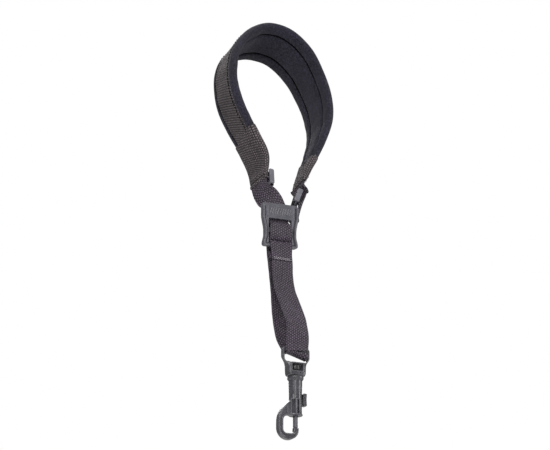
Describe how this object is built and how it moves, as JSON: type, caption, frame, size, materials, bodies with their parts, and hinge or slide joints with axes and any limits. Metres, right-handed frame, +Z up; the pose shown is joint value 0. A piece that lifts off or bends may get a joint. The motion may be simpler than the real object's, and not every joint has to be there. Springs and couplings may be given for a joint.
{
  "type": "saxophone neck strap",
  "caption": "Padded neck loop with side sliders, an adjuster buckle on a drop loop of webbing, and a swivelling bolt-snap hook.",
  "frame": {"origin": "the middle of the padded band's inner face at the top of the loop, where it rests on the neck", "axes": "+Z up, with the strap hanging along -Z; X across the webbing; -Y towards the wearer's front"},
  "size_m": [0.1142, 0.1203, 0.4494],
  "materials": {
    "cover": "woven nylon with a fine diagonal rib, matte",
    "lining": "smooth knitted jersey on foam, matte",
    "foam": "closed-cell foam core, hidden",
    "webbing": "ribbed nylon webbing, slight sheen",
    "thread": "sewing thread",
    "plastic": "moulded acetal, satin",
    "spring_steel": "bright drawn wire"
  },
  "bodies": {
    "neck_loop": {"pad_lining": "lining", "pad_foam": "foam", "pad_cover": "cover", "end_sleeve_left": "cover", "end_sleeve_right": "cover", "end_hem_left": "cover", "end_hem_right": "cover", "side_strap_left": "webbing", "side_strap_right": "webbing", "drop_strap_rear": "webbing", "junction_bartack": "thread"},
    "slider_left": {"slider_left": "plastic", "slider_web_left": "webbing"},
    "slider_right": {"slider_right": "plastic", "slider_web_right": "webbing"},
    "adjuster": {"adjuster_frame": "plastic", "adjuster_weave": "webbing", "strap_end_fold": "webbing", "fold_stitch": "thread"},
    "drop_loop": {"strap_turn": "webbing", "drop_strap_front": "webbing"},
    "eye": {"swivel_eye": "plastic"},
    "snap": {"hook_body": "plastic", "swivel_rivet": "plastic", "bolt_spring": "spring_steel"},
    "bolt": {"bolt": "plastic", "thumb_tab": "plastic"}
  },
  "joints": [
    {"name": "adjuster_slide", "type": "slide", "parent": "neck_loop", "child": "adjuster", "axis": [0.103, -0.0588, -0.9929], "range_m": [0, 0.1], "deforming": ["drop_strap_front"]},
    {"name": "drop_slide", "type": "slide", "parent": "neck_loop", "child": "drop_loop", "axis": [0.103, -0.0588, -0.9929], "range_m": [0, 0.05], "deforming": ["drop_strap_rear"]},
    {"name": "slider_left_slide", "type": "slide", "parent": "neck_loop", "child": "slider_left", "axis": [-0.0733, -0.346, -0.9354], "range_m": [0, 0.003], "deforming": ["side_strap_left"]},
    {"name": "slider_right_slide", "type": "slide", "parent": "neck_loop", "child": "slider_right", "axis": [0.4699, 0.3063, 0.8279], "range_m": [0, 0.003], "deforming": ["side_strap_right"]},
    {"name": "eye_swing", "type": "hinge", "parent": "drop_loop", "child": "eye", "pos_m": [-0.002, -0.08017, -0.3363], "axis": [1, 0, 0], "range_deg": [-45, 45]},
    {"name": "hook_swivel", "type": "hinge", "parent": "eye", "child": "snap", "pos_m": [-0.002, -0.08017, -0.36579], "axis": [0, 0, 1], "continuous": true},
    {"name": "bolt_slide", "type": "slide", "parent": "snap", "child": "bolt", "axis": [0, 0, 1], "range_m": [0, 0.011], "stiffness_N_per_m": 250, "springref_m": -0.006, "deforming": ["bolt_spring"]}
  ],
  "couplings": [
    {"joint": "drop_slide", "follows": "adjuster_slide", "ratio": 0.5}
  ]
}
